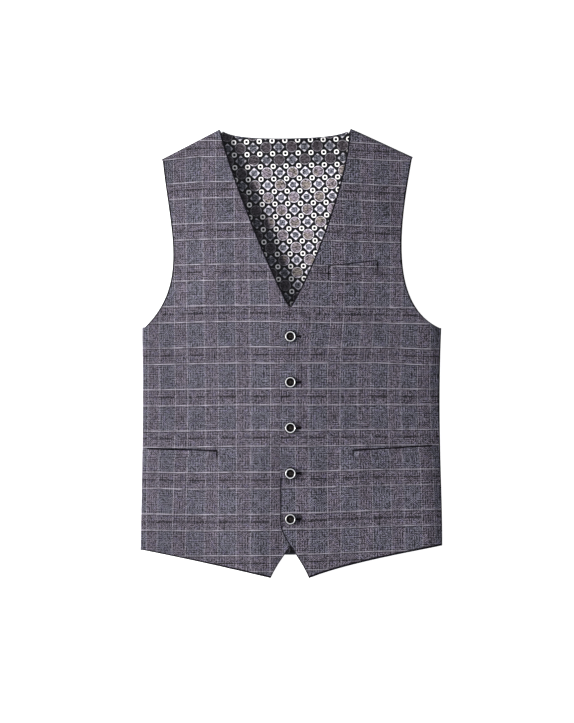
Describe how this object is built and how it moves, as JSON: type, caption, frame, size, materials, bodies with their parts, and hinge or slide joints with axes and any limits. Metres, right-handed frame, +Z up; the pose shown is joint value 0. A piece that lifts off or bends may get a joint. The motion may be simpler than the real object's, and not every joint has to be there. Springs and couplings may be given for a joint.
{
  "type": "suit waistcoat",
  "caption": "Single-breasted suit waistcoat in checked suiting with a patterned lining, buttoned and laid flat on its back.",
  "frame": {"origin": "centre of the laid garment's footprint, on the surface it lies on", "axes": "+Z up out of the fronts, +Y from hem to neck, +X to the wearer's left"},
  "size_m": [0.4536, 0.6738, 0.0259],
  "materials": {
    "suiting": "matte worsted with a fine grey and mauve check",
    "back_satin": "plain dark satin",
    "lining": "printed satin, dark with a small repeat of discs and diamonds",
    "button": "polished, dished",
    "button_rim": "bright metal"
  },
  "bodies": {
    "root": {"front_left": "suiting", "front_right": "suiting", "back": "back_satin", "back_lining": "lining", "welt_chest": "suiting", "welt_left": "suiting", "welt_right": "suiting", "button_1": "button", "button_2": "button", "button_3": "button", "button_4": "button", "button_5": "button", "button_rim_1": "button_rim", "button_rim_2": "button_rim", "button_rim_3": "button_rim", "button_rim_4": "button_rim", "button_rim_5": "button_rim"}
  },
  "joints": []
}
